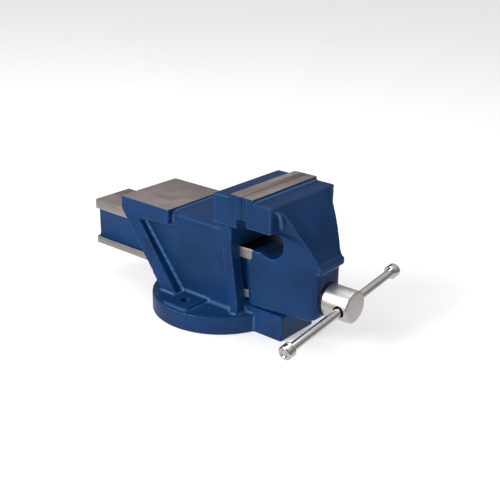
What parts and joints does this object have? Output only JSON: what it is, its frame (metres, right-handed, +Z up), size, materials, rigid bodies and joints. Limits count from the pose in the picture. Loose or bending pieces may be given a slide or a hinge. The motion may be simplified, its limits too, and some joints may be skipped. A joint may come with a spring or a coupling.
{
  "type": "bench vise",
  "caption": "Fixed-base engineer's bench vise with a sliding front jaw, a lead screw turned by a sliding bar handle, and a flat anvil.",
  "frame": {"origin": "centre of the round base on its underside, the face that rests on the bench", "axes": "+X from the anvil towards the handle, +Y along the jaws, +Z up"},
  "size_m": [0.4154, 0.2281, 0.1845],
  "materials": {
    "blue_enamel": "glossy blue enamel over cast iron",
    "ground_steel": "ground",
    "bright_steel": "bright turned and polished",
    "black_steel": "black oxide",
    "grey_iron": "bare machined",
    "spring_steel": "oil tempered"
  },
  "bodies": {
    "fixed_body": {"fixed_jaw_body": "blue_enamel", "fixed_jaw_plate": "ground_steel", "fixed_plate_screw_near": "black_steel", "fixed_plate_screw_far": "black_steel", "spindle_nut": "grey_iron", "nut_washer": "black_steel", "nut_bolt": "black_steel"},
    "sliding_jaw": {"moving_jaw": "blue_enamel", "moving_jaw_plate": "ground_steel", "moving_plate_screw_near": "black_steel", "moving_plate_screw_far": "black_steel"},
    "spindle": {"lead_screw": "bright_steel", "thrust_washer": "black_steel", "spring_washer": "grey_iron", "spindle_spring": "spring_steel", "retaining_collar": "grey_iron", "collar_pin": "ground_steel"},
    "handle": {"handle_bar": "bright_steel", "handle_knob_near": "bright_steel", "handle_knob_far": "bright_steel"}
  },
  "joints": [
    {"name": "jaw_slide", "type": "slide", "parent": "fixed_body", "child": "sliding_jaw", "axis": [1, 0, 0], "range_m": [0, 0.125]},
    {"name": "spindle_turn", "type": "hinge", "parent": "sliding_jaw", "child": "spindle", "pos_m": [0.1737, 0, 0.061], "axis": [1, 0, 0], "range_deg": [0, 7500]},
    {"name": "handle_slide", "type": "slide", "parent": "spindle", "child": "handle", "axis": [0, 0.993, 0.1184], "range_m": [-0.0725, 0.0905]}
  ],
  "couplings": [
    {"joint": "jaw_slide", "follows": "spindle_turn", "m_per_rad": 0.00095493}
  ]
}
